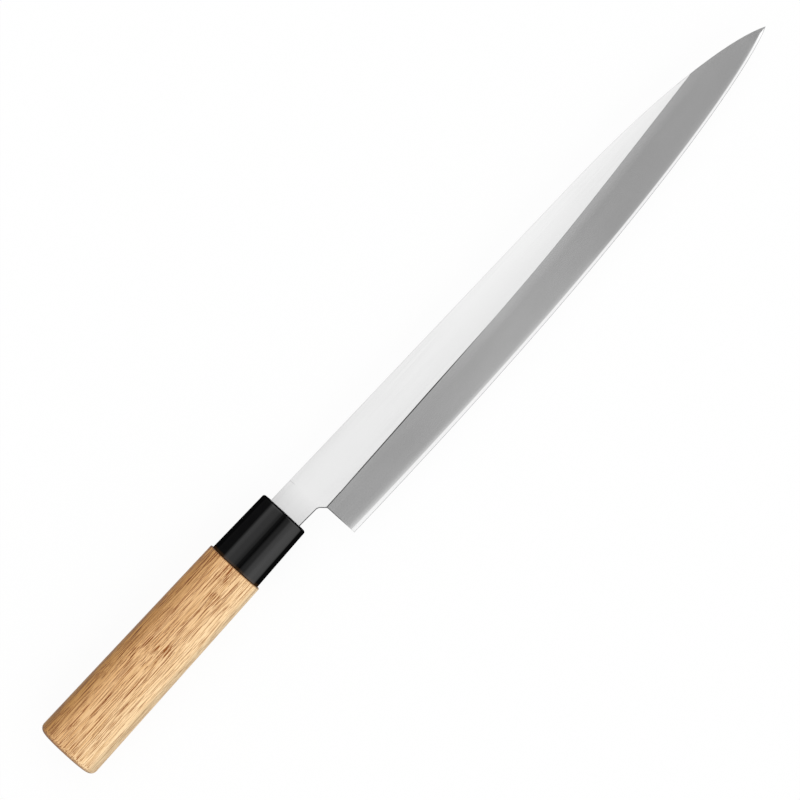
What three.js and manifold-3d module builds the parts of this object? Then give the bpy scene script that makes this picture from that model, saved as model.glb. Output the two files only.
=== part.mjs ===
// Long Japanese slicing knife: a single-bevel steel blade with a hidden tang,
// a moulded ferrule and a tapered oval wooden handle.
// Millimetres. +X runs from the butt to the tip, +Y towards the spine and +Z out of the ground face.
// While the pieces are shaped, x = 0 is the front face of the ferrule and the X axis is the handle's axis.

import * as THREE from 'three';
import { mergeVertices } from 'three/addons/utils/BufferGeometryUtils.js';
import Module from 'manifold-3d';

// Blade outline, seen square on to the ground face
const BLADE_LENGTH = 270; // heel to tip
const HEEL_HEIGHT = 34.3; // spine to edge at the heel
const SPINE_ABOVE_AXIS = 7.55; // spine over the handle's axis, at the heel
const TIP_BELOW_AXIS = 10.87;
const SPINE_FALL = 1.07; // degrees, along the straight stretch of the spine
const SPINE_CURVE_LENGTH = 102.3; // stretch of spine before the tip that bends down
const SPINE_CURVE_FULLNESS = 0.481; // how far the straight direction is held into that stretch
const TIP_NOSE_LENGTH = 15.9; // how far the spine's direction at the tip is held
const TIP_NOSE_ANGLE = 29.6; // degrees below the axis
const EDGE_HEEL_FALL = 1.09; // degrees that the edge falls at the heel
const EDGE_HEEL_FULLNESS = 0.66; // share of the blade's length that holds the edge's direction at the heel
const EDGE_TIP_RISE = 24.3; // degrees that the edge climbs at the tip
const EDGE_TIP_FULLNESS = 0.05; // share that holds its direction at the tip

// Blade section
const NECK_THICKNESS = 2.8; // thickest point of the steel, at the ferrule
const SHOULDER_THICKNESS = 2.3; // where the ridge line runs out into the spine
const SHOULDER_TO_TIP = 34.5;
const BEVEL_HEIGHT = 15.25; // ground face from edge to ridge line, at the heel
const RIDGE_HEEL_RISE = 1.05; // degrees that the ridge line climbs at the heel
const RIDGE_SHOULDER_RISE = 4.58; // degrees that the ridge line climbs at the shoulder
const RIDGE_HEEL_FULLNESS = 0.61; // share of the ridge line that holds its direction at the heel
const RIDGE_SHOULDER_FULLNESS = 0.48; // share that holds its direction at the shoulder
const EDGE_BEVEL_HEEL = 1.75; // width of the narrow sharpened band at the heel
const EDGE_BEVEL_TIP = 1.15; // width of that band near the tip
const EDGE_BEVEL_ANGLE = 16; // degrees between that band and the back
const EDGE_BEVEL_SHARE = 0.35; // most of the blade's height that the band takes at the tip
const SPINE_CHAMFER = 0.3;
const HOLLOW_DEPTH = 0.35; // hollow grind of the back
const HOLLOW_EDGE_RIM = 1.8; // flat left on the back along the edge
const HOLLOW_SPINE_RIM = 2.4; // flat left on the back along the spine
const HOLLOW_FROM_HEEL = 4;
const HOLLOW_FROM_TIP = 17;
const HOLLOW_RUNOUT = 14; // length over which the hollow comes up to the flat at either end

// Neck and tang
const NECK_LENGTH = 13.5; // ferrule to heel
const NECK_BELOW_AXIS = 8.25; // underside of the neck, at the ferrule
const NECK_FALL = 2.5; // degrees that the underside falls towards the heel
const HEEL_SLANT = 2.6; // length along the neck of the slanted cut between neck and heel
const HEEL_SLANT_ANGLE = 48.5; // degrees below the axis
const HEEL_FILLET = 2.7; // radius where the neck's underside bends into that cut
const TANG_LENGTH = 80;
const TANG_HEIGHT_FRONT = 11;
const TANG_HEIGHT_END = 7;
const TANG_THICKNESS_END = 2;

// Ferrule
const FERRULE_LENGTH = 30.2;
const FERRULE_WIDTH_FRONT = 23.2;
const FERRULE_WIDTH_REAR = 24.8;
const FERRULE_THICKNESS_FRONT = 18;
const FERRULE_THICKNESS_REAR = 19.2;
const FERRULE_FRONT_WALL = 4;
const FERRULE_SIDE_WALL = 1.9;
const FERRULE_EDGE_RADIUS = 0.9;

// Wooden handle
const HANDLE_LENGTH = 104.4; // without its tenon
const HANDLE_WIDTH_FRONT = 26.9;
const HANDLE_WIDTH_BUTT = 29.6;
const HANDLE_THICKNESS_FRONT = 20.9;
const HANDLE_THICKNESS_BUTT = 23;
const HANDLE_FRONT_BREAK = 0.4; // eased edge of the shoulder behind the ferrule
const BUTT_FILLET = 2.9;
const BUTT_CROWN = 0.4; // how far the flat of the butt stands out past its rounded rim
const BUTT_FLAT_INSET = 8; // from the sides of the handle in to that flat
const OVAL_POWER = 2.25; // 2 is an ellipse, more is squarer

// Fits
const BOND_GAP = 0.15; // glue line
const SLOT_CLEARANCE = 0.25; // round the neck where it enters the ferrule
const BEDDING_WALL = 0.8; // cured resin round the tang

// Fineness of the facets
const OVAL_SIDES = 64;
const FILLET_STEPS = 6;
const ARC_SEGMENTS = 12;
const HOLLOW_STEPS = 12;
const FINE_STEP = 2; // spacing of blade sections near the heel and the tip
const COARSE_STEP = 5; // spacing of the sections between
const FINE_REACH = 40; // how far from heel and tip the fine spacing goes
const MERGE_DISTANCE = 1e-4;
const CUT_MARGIN = 2; // how far a cutter runs past what it cuts

const HEEL_X = NECK_LENGTH;
const TIP_X = HEEL_X + BLADE_LENGTH;
const SHOULDER_X = TIP_X - SHOULDER_TO_TIP;
const TANG_FRONT_X = -FERRULE_FRONT_WALL;
const TANG_END_X = TANG_FRONT_X - TANG_LENGTH;
const BUTT_X = -FERRULE_LENGTH - BOND_GAP - HANDLE_LENGTH;

const wasm = await Module();
wasm.setup();

const slope = (degrees) => Math.tan(THREE.MathUtils.degToRad(degrees));
const mix = THREE.MathUtils.lerp;
const share = THREE.MathUtils.inverseLerp;

// Solids

// Closed skin over rings of points, all of one count, with a fan from the middle of each end ring.
function loft(rings) {
  const sides = rings[0].length;
  const points = rings.flat();
  const triangles = [];
  for (let ring = 0; ring + 1 < rings.length; ring += 1) {
    for (let side = 0; side < sides; side += 1) {
      const near = ring * sides + side;
      const nearNext = ring * sides + ((side + 1) % sides);
      triangles.push(near, nearNext, nearNext + sides);
      triangles.push(near, nearNext + sides, near + sides);
    }
  }
  const firstMiddle = points.push(middleOf(rings[0])) - 1;
  const lastMiddle = points.push(middleOf(rings.at(-1))) - 1;
  const lastStart = (rings.length - 1) * sides;
  for (let side = 0; side < sides; side += 1) {
    const next = (side + 1) % sides;
    triangles.push(firstMiddle, next, side);
    triangles.push(lastMiddle, lastStart + side, lastStart + next);
  }
  const geometry = new THREE.BufferGeometry().setFromPoints(points);
  geometry.setIndex(triangles);
  return solidFrom(geometry);
}

function middleOf(ring) {
  const sum = new THREE.Vector3();
  ring.forEach((point) => sum.add(point));
  return sum.divideScalar(ring.length);
}

// Solid from a closed geometry: equal points become one, and triangles that shrink to a line go.
function solidFrom(geometry) {
  geometry.deleteAttribute('normal');
  geometry.deleteAttribute('uv');
  const merged = mergeVertices(geometry, MERGE_DISTANCE);
  const corners = merged.index.array;
  const kept = [];
  for (let start = 0; start < corners.length; start += 3) {
    const [a, b, c] = corners.slice(start, start + 3);
    if (a !== b && b !== c && c !== a) kept.push(a, b, c);
  }
  const vertProperties = new Float32Array(merged.attributes.position.array);
  const triVerts = new Uint32Array(kept);
  return new wasm.Manifold(new wasm.Mesh({ numProp: 3, vertProperties, triVerts }));
}

function geometryOf(solid) {
  const mesh = solid.getMesh();
  const geometry = new THREE.BufferGeometry();
  geometry.setAttribute('position', new THREE.BufferAttribute(mesh.vertProperties, 3));
  geometry.setIndex(new THREE.BufferAttribute(mesh.triVerts, 1));
  geometry.computeVertexNormals();
  return geometry;
}

// Oval cross-section of the handle, square to the X axis.
function ovalRing(x, width, thickness) {
  const ring = [];
  for (let side = 0; side < OVAL_SIDES; side += 1) {
    const angle = (side * 2 * Math.PI) / OVAL_SIDES;
    const across = Math.sign(Math.cos(angle)) * Math.abs(Math.cos(angle)) ** (2 / OVAL_POWER);
    const up = Math.sign(Math.sin(angle)) * Math.abs(Math.sin(angle)) ** (2 / OVAL_POWER);
    ring.push(new THREE.Vector3(x, (across * width) / 2, (up * thickness) / 2));
  }
  return ring;
}

// Rings that round the rim of an oval's end: from the flat end face out to the full oval.
// inward is +1 where the piece lies on the +X side of its end face, and -1 where it lies on the other.
function roundedRim(endX, inward, radius, widthAt, thicknessAt) {
  const rings = [];
  for (let step = 0; step <= FILLET_STEPS; step += 1) {
    const angle = (step / FILLET_STEPS) * (Math.PI / 2);
    const x = endX + inward * radius * (1 - Math.cos(angle));
    const inset = 2 * radius * (1 - Math.sin(angle));
    rings.push(ovalRing(x, widthAt(x) - inset, thicknessAt(x) - inset));
  }
  return rings;
}

// Blade lines

const heelSpineY = SPINE_ABOVE_AXIS;
const heelEdgeY = heelSpineY - HEEL_HEIGHT;
const tip = new THREE.Vector2(TIP_X, -TIP_BELOW_AXIS);
const straightSpineY = (x) => heelSpineY - slope(SPINE_FALL) * (x - HEEL_X);

function makeSpineCurve() {
  const startX = TIP_X - SPINE_CURVE_LENGTH;
  const leadX = startX + SPINE_CURVE_LENGTH * SPINE_CURVE_FULLNESS;
  const noseAngle = THREE.MathUtils.degToRad(TIP_NOSE_ANGLE);
  const nose = new THREE.Vector2(-Math.cos(noseAngle), Math.sin(noseAngle)).multiplyScalar(TIP_NOSE_LENGTH);
  return new THREE.CubicBezierCurve(
    new THREE.Vector2(startX, straightSpineY(startX)),
    new THREE.Vector2(leadX, straightSpineY(leadX)),
    nose.add(tip),
    tip,
  );
}

function makeEdgeCurve() {
  const heelLead = BLADE_LENGTH * EDGE_HEEL_FULLNESS;
  const tipLead = BLADE_LENGTH * EDGE_TIP_FULLNESS;
  return new THREE.CubicBezierCurve(
    new THREE.Vector2(HEEL_X, heelEdgeY),
    new THREE.Vector2(HEEL_X + heelLead, heelEdgeY - heelLead * slope(EDGE_HEEL_FALL)),
    new THREE.Vector2(TIP_X - tipLead, tip.y - tipLead * slope(EDGE_TIP_RISE)),
    tip,
  );
}

function makeRidgeCurve() {
  const start = new THREE.Vector2(HEEL_X, heelEdgeY + BEVEL_HEIGHT);
  const end = new THREE.Vector2(SHOULDER_X, spineY(SHOULDER_X));
  const heelLead = (SHOULDER_X - HEEL_X) * RIDGE_HEEL_FULLNESS;
  const shoulderLead = (SHOULDER_X - HEEL_X) * RIDGE_SHOULDER_FULLNESS;
  return new THREE.CubicBezierCurve(
    start,
    new THREE.Vector2(start.x + heelLead, start.y + heelLead * slope(RIDGE_HEEL_RISE)),
    new THREE.Vector2(end.x - shoulderLead, end.y - shoulderLead * slope(RIDGE_SHOULDER_RISE)),
    end,
  );
}

// Height of a curve at x, found by halving. The curve runs forward in x all the way.
function heightAt(curve, x) {
  let low = 0;
  let high = 1;
  while (high - low > 1e-9) {
    const middle = (low + high) / 2;
    if (curve.getPoint(middle).x < x) low = middle;
    else high = middle;
  }
  return curve.getPoint(high).y;
}

const spineCurve = makeSpineCurve();
const spineY = (x) => (x < TIP_X - SPINE_CURVE_LENGTH ? straightSpineY(x) : heightAt(spineCurve, x));
const edgeCurve = makeEdgeCurve();
const edgeY = (x) => (x <= HEEL_X ? heelEdgeY : heightAt(edgeCurve, x));
const ridgeCurve = makeRidgeCurve();
const ridgeY = (x) => (x <= HEEL_X ? heelEdgeY + BEVEL_HEIGHT : heightAt(ridgeCurve, x));

// Steel thickness over the flat: thickest at the ferrule, thinning to the tip and to the end of the tang.
function steelThickness(x) {
  if (x < 0) return mix(NECK_THICKNESS, TANG_THICKNESS_END, share(0, TANG_END_X, x));
  return mix(NECK_THICKNESS, SHOULDER_THICKNESS, share(0, SHOULDER_X, x));
}

// The back is one plane from the ferrule to the tip. The tang thins evenly on both sides.
const backZ = (x) => (x < 0 ? -steelThickness(x) / 2 : -NECK_THICKNESS / 2);

function edgeBevelWidth(x) {
  const along = THREE.MathUtils.clamp(share(HEEL_X, TIP_X, x), 0, 1);
  return Math.min(mix(EDGE_BEVEL_HEEL, EDGE_BEVEL_TIP, along), EDGE_BEVEL_SHARE * (spineY(x) - edgeY(x)));
}

// Rise of the ground face per millimetre across the blade, between the sharpened band and the ridge line.
function bevelSlope(x) {
  const at = Math.min(x, SHOULDER_X);
  const band = edgeBevelWidth(at);
  const rise = steelThickness(at) - band * slope(EDGE_BEVEL_ANGLE);
  return rise / (ridgeY(at) - edgeY(at) - band);
}

// How much of the hollow's full depth is ground at x: a rounded run-out at both ends.
function hollowAmount(x) {
  const fromHeel = (x - HEEL_X - HOLLOW_FROM_HEEL) / HOLLOW_RUNOUT;
  const fromTip = (TIP_X - HOLLOW_FROM_TIP - x) / HOLLOW_RUNOUT;
  const into = THREE.MathUtils.clamp(Math.min(fromHeel, fromTip), 0, 1);
  return 1 - (1 - into) ** 2;
}

// One section of the blade, square to the X axis, from the back of the spine round by the edge.
function bladeSection(x) {
  const spine = spineY(x);
  const edge = edgeY(x);
  const height = spine - edge;
  const back = backZ(x);
  const band = edgeBevelWidth(x);
  const bandTop = back + band * slope(EDGE_BEVEL_ANGLE);
  const bevelZ = (y) => bandTop + bevelSlope(x) * (y - edge - band);
  const pastShoulder = x >= SHOULDER_X;
  const spineThickness = pastShoulder ? bevelZ(spine) - back : steelThickness(x);
  const chamfer = Math.min(SPINE_CHAMFER, spineThickness / 4, height / 4);
  const ridge = pastShoulder ? spine - chamfer : Math.min(ridgeY(x), spine - chamfer);
  const ridgeZ = pastShoulder ? bevelZ(ridge) : back + spineThickness;
  const outline = [
    [spine - chamfer, back],
    [spine, back + chamfer],
    [spine, back + spineThickness - chamfer],
    [spine - chamfer, ridgeZ],
    [ridge, ridgeZ],
    [edge + band, bandTop],
    [edge, back],
  ];
  const amount = hollowAmount(x);
  const hollowMiddle = edge + (height + HOLLOW_EDGE_RIM - HOLLOW_SPINE_RIM) / 2;
  const hollowHalf = (Math.sqrt(amount) * (height - HOLLOW_EDGE_RIM - HOLLOW_SPINE_RIM)) / 2;
  for (let step = 0; step <= HOLLOW_STEPS; step += 1) {
    const across = (2 * step) / HOLLOW_STEPS - 1;
    const depth = HOLLOW_DEPTH * amount * (1 - across ** 2);
    outline.push([hollowMiddle + across * hollowHalf, back + depth]);
  }
  return outline.map(([y, z]) => new THREE.Vector3(x, y, z));
}

// Places of the blade sections: every change of form, and steps between them.
function sectionPlaces() {
  const changes = [
    TANG_END_X,
    0,
    HEEL_X,
    HEEL_X + HOLLOW_FROM_HEEL,
    HEEL_X + HOLLOW_FROM_HEEL + HOLLOW_RUNOUT,
    TIP_X - HOLLOW_FROM_TIP - HOLLOW_RUNOUT,
    TIP_X - HOLLOW_FROM_TIP,
    SHOULDER_X,
    HEEL_X + FINE_REACH,
    TIP_X - FINE_REACH,
    TIP_X,
  ].sort((a, b) => a - b);
  const places = [changes[0]];
  for (let index = 1; index < changes.length; index += 1) {
    const from = changes[index - 1];
    const to = changes[index];
    const isBlade = from >= HEEL_X;
    const isFine = to <= HEEL_X + FINE_REACH || from >= TIP_X - FINE_REACH;
    const step = isFine ? FINE_STEP : COARSE_STEP;
    const count = isBlade ? Math.max(1, Math.round((to - from) / step)) : 1;
    for (let part = 1; part <= count; part += 1) places.push(mix(from, to, part / count));
  }
  return places;
}

const neckY = (x) => -NECK_BELOW_AXIS - slope(NECK_FALL) * x;
const tangHalfHeight = (x) => mix(TANG_HEIGHT_FRONT, TANG_HEIGHT_END, share(TANG_FRONT_X, TANG_END_X, x)) / 2;

// Outline that the ground bar is cut to: tang, shoulders, neck, slanted cut and heel.
// Along the spine and the edge it passes clear of the steel.
function bladeBlank() {
  const clearAbove = spineY(TANG_END_X) + CUT_MARGIN;
  const clearBelow = Math.min(edgeCurve.v0.y, edgeCurve.v1.y) - CUT_MARGIN;
  const fall = THREE.MathUtils.degToRad(NECK_FALL);
  const slant = THREE.MathUtils.degToRad(HEEL_SLANT_ANGLE);
  const slantX = HEEL_X - HEEL_SLANT;
  const filletX = slantX - HEEL_FILLET * Math.tan((slant - fall) / 2) * Math.cos(fall);
  const centreX = filletX - HEEL_FILLET * Math.sin(fall);
  const centreY = neckY(filletX) - HEEL_FILLET * Math.cos(fall);
  const outline = new THREE.Shape();
  outline.moveTo(TANG_END_X, tangHalfHeight(TANG_END_X));
  outline.lineTo(TANG_END_X, -tangHalfHeight(TANG_END_X));
  outline.lineTo(TANG_FRONT_X, -tangHalfHeight(TANG_FRONT_X));
  outline.lineTo(TANG_FRONT_X, neckY(TANG_FRONT_X));
  outline.lineTo(filletX, neckY(filletX));
  outline.absarc(centreX, centreY, HEEL_FILLET, Math.PI / 2 - fall, Math.PI / 2 - slant, true);
  outline.lineTo(HEEL_X, neckY(slantX) - HEEL_SLANT * Math.tan(slant));
  outline.lineTo(HEEL_X, clearBelow);
  outline.lineTo(TIP_X + CUT_MARGIN, clearBelow);
  outline.lineTo(TIP_X + CUT_MARGIN, clearAbove);
  outline.lineTo(TANG_FRONT_X, clearAbove);
  outline.lineTo(TANG_FRONT_X, tangHalfHeight(TANG_FRONT_X));
  outline.closePath();
  const depth = NECK_THICKNESS + 2 * CUT_MARGIN;
  const blank = new THREE.ExtrudeGeometry(outline, { depth, bevelEnabled: false, curveSegments: ARC_SEGMENTS });
  blank.translate(0, 0, -depth / 2);
  return solidFrom(blank);
}

function makeBlade() {
  const groundBar = loft(sectionPlaces().map(bladeSection));
  return groundBar.intersect(bladeBlank());
}

// Handle pieces

// Bar shaped like the tang, larger by margin all round, from frontX to past the tang's end.
function tangShape(margin, frontX) {
  const section = (x) => {
    const halfHeight = tangHalfHeight(x) + margin;
    const halfThickness = steelThickness(x) / 2 + margin;
    return [
      new THREE.Vector3(x, -halfHeight, -halfThickness),
      new THREE.Vector3(x, halfHeight, -halfThickness),
      new THREE.Vector3(x, halfHeight, halfThickness),
      new THREE.Vector3(x, -halfHeight, halfThickness),
    ];
  };
  return loft([section(TANG_END_X - margin), section(frontX)]);
}

const tenonFaceX = TANG_FRONT_X - BOND_GAP;
const socketWidth = FERRULE_WIDTH_FRONT - 2 * FERRULE_SIDE_WALL;
const socketThickness = FERRULE_THICKNESS_FRONT - 2 * FERRULE_SIDE_WALL;

function makeFerrule() {
  const widthAt = (x) => mix(FERRULE_WIDTH_FRONT, FERRULE_WIDTH_REAR, share(0, -FERRULE_LENGTH, x));
  const thicknessAt = (x) => mix(FERRULE_THICKNESS_FRONT, FERRULE_THICKNESS_REAR, share(0, -FERRULE_LENGTH, x));
  const rim = roundedRim(0, -1, FERRULE_EDGE_RADIUS, widthAt, thicknessAt);
  const rear = ovalRing(-FERRULE_LENGTH, widthAt(-FERRULE_LENGTH), thicknessAt(-FERRULE_LENGTH));
  const body = loft([rear, ...rim.reverse()]);
  const socket = loft([
    ovalRing(-FERRULE_LENGTH - CUT_MARGIN, socketWidth, socketThickness),
    ovalRing(TANG_FRONT_X, socketWidth, socketThickness),
  ]);
  const slotTop = spineY(TANG_FRONT_X) + SLOT_CLEARANCE;
  const slotBottom = neckY(0) - SLOT_CLEARANCE;
  const slotDepth = FERRULE_FRONT_WALL + 2 * CUT_MARGIN;
  const slot = new THREE.BoxGeometry(slotDepth, slotTop - slotBottom, NECK_THICKNESS + 2 * SLOT_CLEARANCE);
  slot.translate(TANG_FRONT_X / 2, (slotTop + slotBottom) / 2, 0);
  return body.subtract(socket).subtract(solidFrom(slot));
}

function makeHandle() {
  const frontX = -FERRULE_LENGTH - BOND_GAP;
  const widthAt = (x) => mix(HANDLE_WIDTH_BUTT, HANDLE_WIDTH_FRONT, share(BUTT_X, frontX, x));
  const thicknessAt = (x) => mix(HANDLE_THICKNESS_BUTT, HANDLE_THICKNESS_FRONT, share(BUTT_X, frontX, x));
  const buttFlat = ovalRing(
    BUTT_X,
    HANDLE_WIDTH_BUTT - 2 * BUTT_FLAT_INSET,
    HANDLE_THICKNESS_BUTT - 2 * BUTT_FLAT_INSET,
  );
  const buttRim = roundedRim(BUTT_X + BUTT_CROWN, 1, BUTT_FILLET, widthAt, thicknessAt);
  const frontRim = roundedRim(frontX, -1, HANDLE_FRONT_BREAK, widthAt, thicknessAt);
  const body = loft([buttFlat, ...buttRim, ...frontRim.reverse()]);
  const tenonWidth = socketWidth - 2 * BOND_GAP;
  const tenonThickness = socketThickness - 2 * BOND_GAP;
  const tenon = loft([
    ovalRing(frontX - CUT_MARGIN, tenonWidth, tenonThickness),
    ovalRing(tenonFaceX, tenonWidth, tenonThickness),
  ]);
  const bore = tangShape(BEDDING_WALL + 2 * BOND_GAP, tenonFaceX + CUT_MARGIN);
  return body.add(tenon).subtract(bore);
}

function makeTangBedding() {
  const pocket = tangShape(BOND_GAP, tenonFaceX + CUT_MARGIN);
  return tangShape(BEDDING_WALL + BOND_GAP, tenonFaceX).subtract(pocket);
}

// Assembly

function addPiece(group, name, solid, color, roughness, metalness) {
  const material = new THREE.MeshStandardMaterial({ color, roughness, metalness });
  const mesh = new THREE.Mesh(geometryOf(solid), material);
  mesh.name = name;
  group.add(mesh);
}

const knife = new THREE.Group();
addPiece(knife, 'blade', makeBlade(), 0xc9ccce, 0.3, 1);
addPiece(knife, 'ferrule', makeFerrule(), 0x0b0b0c, 0.25, 0);
addPiece(knife, 'handle', makeHandle(), 0xd3a775, 0.6, 0);
addPiece(knife, 'tang_bedding', makeTangBedding(), 0xb9a377, 0.7, 0);

// The knife lies on its back, and the origin is under the middle of it on the surface that it lies on.
const box = new THREE.Box3().setFromObject(knife);
const middle = box.getCenter(new THREE.Vector3());
knife.position.set(-middle.x, -middle.y, -box.min.z);

export default knife;
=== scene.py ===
import math

import bmesh
import bpy
import numpy as np
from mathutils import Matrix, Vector


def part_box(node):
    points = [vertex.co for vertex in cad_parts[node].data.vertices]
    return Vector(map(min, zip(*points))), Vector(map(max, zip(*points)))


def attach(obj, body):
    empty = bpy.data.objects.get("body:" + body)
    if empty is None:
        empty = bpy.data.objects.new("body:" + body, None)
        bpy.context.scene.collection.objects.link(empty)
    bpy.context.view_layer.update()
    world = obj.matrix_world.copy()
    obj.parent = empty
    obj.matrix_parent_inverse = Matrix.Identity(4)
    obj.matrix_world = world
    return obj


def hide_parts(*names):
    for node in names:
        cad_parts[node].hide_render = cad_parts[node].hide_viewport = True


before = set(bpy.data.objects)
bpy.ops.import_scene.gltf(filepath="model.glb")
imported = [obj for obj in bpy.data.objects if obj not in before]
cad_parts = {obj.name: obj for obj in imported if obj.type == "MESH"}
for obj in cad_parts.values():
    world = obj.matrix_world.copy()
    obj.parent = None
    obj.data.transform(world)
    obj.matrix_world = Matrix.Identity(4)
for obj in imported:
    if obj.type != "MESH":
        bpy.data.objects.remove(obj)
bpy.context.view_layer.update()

# Looks of a long single-bevel slicing knife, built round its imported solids.
# Shapes are worked out in millimetres in the knife's own place: x = 0 is the front face of the ferrule,
# the X axis is the handle's axis, +Y is towards the spine and +Z out of the ground face.

MM = 0.001
TINY = 1e-9
blade_low, blade_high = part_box("blade")
ferrule_low, ferrule_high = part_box("ferrule")
handle_low, handle_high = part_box("handle")
ORIGIN = Vector((ferrule_high.x, (handle_low.y + handle_high.y) / 2, (handle_low.z + handle_high.z) / 2))

# Blade outline, as in the solids
HEEL_X = 13.5
TIP_X = (blade_high.x - ORIGIN.x) / MM
SPINE_ABOVE_AXIS = 7.55
HEEL_HEIGHT = 34.3
TIP_BELOW_AXIS = 10.87
SPINE_FALL = 1.07
SPINE_CURVE_LENGTH = 102.3
SPINE_CURVE_FULLNESS = 0.481
TIP_NOSE_LENGTH = 15.9
TIP_NOSE_ANGLE = 29.6
EDGE_HEEL_FALL = 1.09
EDGE_HEEL_FULLNESS = 0.66
EDGE_TIP_RISE = 24.3
EDGE_TIP_FULLNESS = 0.05
LOWEST_EDGE_Y = (blade_low.y - ORIGIN.y) / MM
NECK_BELOW_AXIS = 8.25
NECK_FALL = 2.5
HEEL_SLANT = 2.6
HEEL_SLANT_ANGLE = 48.5
HEEL_FILLET = 2.7

# Blade section, as in the solids
NECK_THICKNESS = (blade_high.z - blade_low.z) / MM
SHOULDER_THICKNESS = 2.3
SHOULDER_TO_TIP = 34.5
SHOULDER_X = TIP_X - SHOULDER_TO_TIP
BEVEL_HEIGHT = 15.25
RIDGE_HEEL_RISE = 1.05
RIDGE_SHOULDER_RISE = 4.58
RIDGE_HEEL_FULLNESS = 0.61
RIDGE_SHOULDER_FULLNESS = 0.48
EDGE_BEVEL_HEEL = 1.75
EDGE_BEVEL_TIP = 1.15
EDGE_BEVEL_ANGLE = 16.0
EDGE_BEVEL_SHARE = 0.35
HOLLOW_DEPTH = 0.35
HOLLOW_EDGE_RIM = 1.8
HOLLOW_SPINE_RIM = 2.4
HOLLOW_FROM_HEEL = 4.0
HOLLOW_FROM_TIP = 17.0
HOLLOW_RUNOUT = 14.0
HOLLOW_LEAST_SHARE = 0.02
HOLLOW_LEAST_AMOUNT = 0.0004

# Fine form of the blade that only shows close up
SPINE_ROUND = 0.12
SPINE_ROUND_SHARE = 0.3
CUT_ROUND = 0.2
CUT_ROUND_SHARE = 0.25
FLAT_RADIUS = 800.0
RIDGE_LAND = 0.5
RIDGE_LAND_LEAST = 0.1
RIDGE_LAND_FADE = (80.0, 118.0)
RIDGE_LAND_SHARE = 0.32
RIDGE_SOFTNESS = 0.05
EDGE_BEVEL_SOFTNESS = 0.12
EDGE_BEVEL_SOFT_SHARE = 0.25
BEVEL_ROLL_WIDTH = 3.0
BEVEL_ROLL_ANGLE = 4.0
BEVEL_ROLL_SHARE = 0.2
EDGE_LINE = 0.28

# Tang
TANG_FRONT_X = -4.0
TANG_END_X = (blade_low.x - ORIGIN.x) / MM
TANG_HEIGHT_FRONT = 11.0
TANG_HEIGHT_END = 7.0
TANG_THICKNESS_FRONT = 2.6
TANG_THICKNESS_END = 2.0
TANG_ROUND = 0.2

# Ferrule and handle
BOND_GAP = 0.15
FERRULE_LENGTH = (ferrule_high.x - ferrule_low.x) / MM
FERRULE_REAR = ((ferrule_high.y - ferrule_low.y) / MM, (ferrule_high.z - ferrule_low.z) / MM)
FERRULE_FRONT = (23.2, 18.0)
FERRULE_EDGE_ROUND = 0.9
FERRULE_REAR_ROUND = 0.15
SOCKET = (19.4, 14.2)
SLOT_CLEARANCE = 0.25
HANDLE_FRONT_X = -FERRULE_LENGTH - BOND_GAP
BUTT_X = (handle_low.x - ORIGIN.x) / MM
HANDLE_WIDEST = ((handle_high.y - handle_low.y) / MM, (handle_high.z - handle_low.z) / MM)
HANDLE_FRONT = (26.9, 20.9)
HANDLE_FRONT_ROUND = 0.35
BUTT_ROUND = 2.9
BUTT_CROWN = 0.4
BUTT_FLAT_INSET = 8.0
TENON = (19.1, 13.9)
TENON_FACE_X = TANG_FRONT_X - BOND_GAP
BORE_MARGIN = 1.1
OVAL_POWER = 2.25
OVAL_SIDES = 96
FERRULE_REAR_STEPS = 3
FERRULE_SECTIONS = 14
FERRULE_EDGE_STEPS = 8
BUTT_MIDDLE_SHARES = (0.02, 0.5)
BUTT_CROWN_STEPS = 5
BUTT_ROUND_STEPS = 10
HANDLE_SECTIONS = 30
HANDLE_FRONT_STEPS = 5

# Photograph: the view looks square on to the blade, with the handle's axis turned in the picture
PHOTO_PIXELS = 800
PIXEL_MM = 0.41443
HANDLE_TURN = 47.528
VIEW_CENTRE = (66.81, -3.64)
CAMERA_DISTANCE = 1.7
CAMERA_REACH = 100.0
SENSOR_WIDTH = 36.0


# Curves of the blade


def slope(degrees):
    return math.tan(math.radians(degrees))


def bezier(points, count=2000):
    """Points along a Bezier curve of any order, by mixing neighbouring control points until one is left."""
    t = np.linspace(0.0, 1.0, count)[:, None]
    rows = [np.tile(np.array(p, float), (count, 1)) for p in points]
    while len(rows) > 1:
        rows = [(1 - t) * a + t * b for a, b in zip(rows, rows[1:])]
    return rows[0]


HEEL_EDGE_Y = SPINE_ABOVE_AXIS - HEEL_HEIGHT


def straight_spine_y(x):
    return SPINE_ABOVE_AXIS - slope(SPINE_FALL) * (x - HEEL_X)


def make_spine_curve():
    start = TIP_X - SPINE_CURVE_LENGTH
    lead = start + SPINE_CURVE_LENGTH * SPINE_CURVE_FULLNESS
    nose = math.radians(TIP_NOSE_ANGLE)
    tip = np.array((TIP_X, -TIP_BELOW_AXIS))
    before_tip = tip + TIP_NOSE_LENGTH * np.array((-math.cos(nose), math.sin(nose)))
    return bezier([(start, straight_spine_y(start)), (lead, straight_spine_y(lead)), before_tip, tip])


def make_edge_curve():
    heel = np.array((HEEL_X, HEEL_EDGE_Y))
    tip = np.array((TIP_X, -TIP_BELOW_AXIS))
    length = TIP_X - HEEL_X
    heel_lead = length * EDGE_HEEL_FULLNESS * np.array((1.0, -slope(EDGE_HEEL_FALL)))
    tip_lead = length * EDGE_TIP_FULLNESS * np.array((1.0, slope(EDGE_TIP_RISE)))
    return bezier([heel, heel + heel_lead, tip - tip_lead, tip])


SPINE_CURVE = make_spine_curve()
EDGE_CURVE = make_edge_curve()


def spine_y(x):
    return np.where(x < TIP_X - SPINE_CURVE_LENGTH, straight_spine_y(x), np.interp(x, *SPINE_CURVE.T))


def edge_y(x):
    return np.interp(x, *EDGE_CURVE.T)


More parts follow.
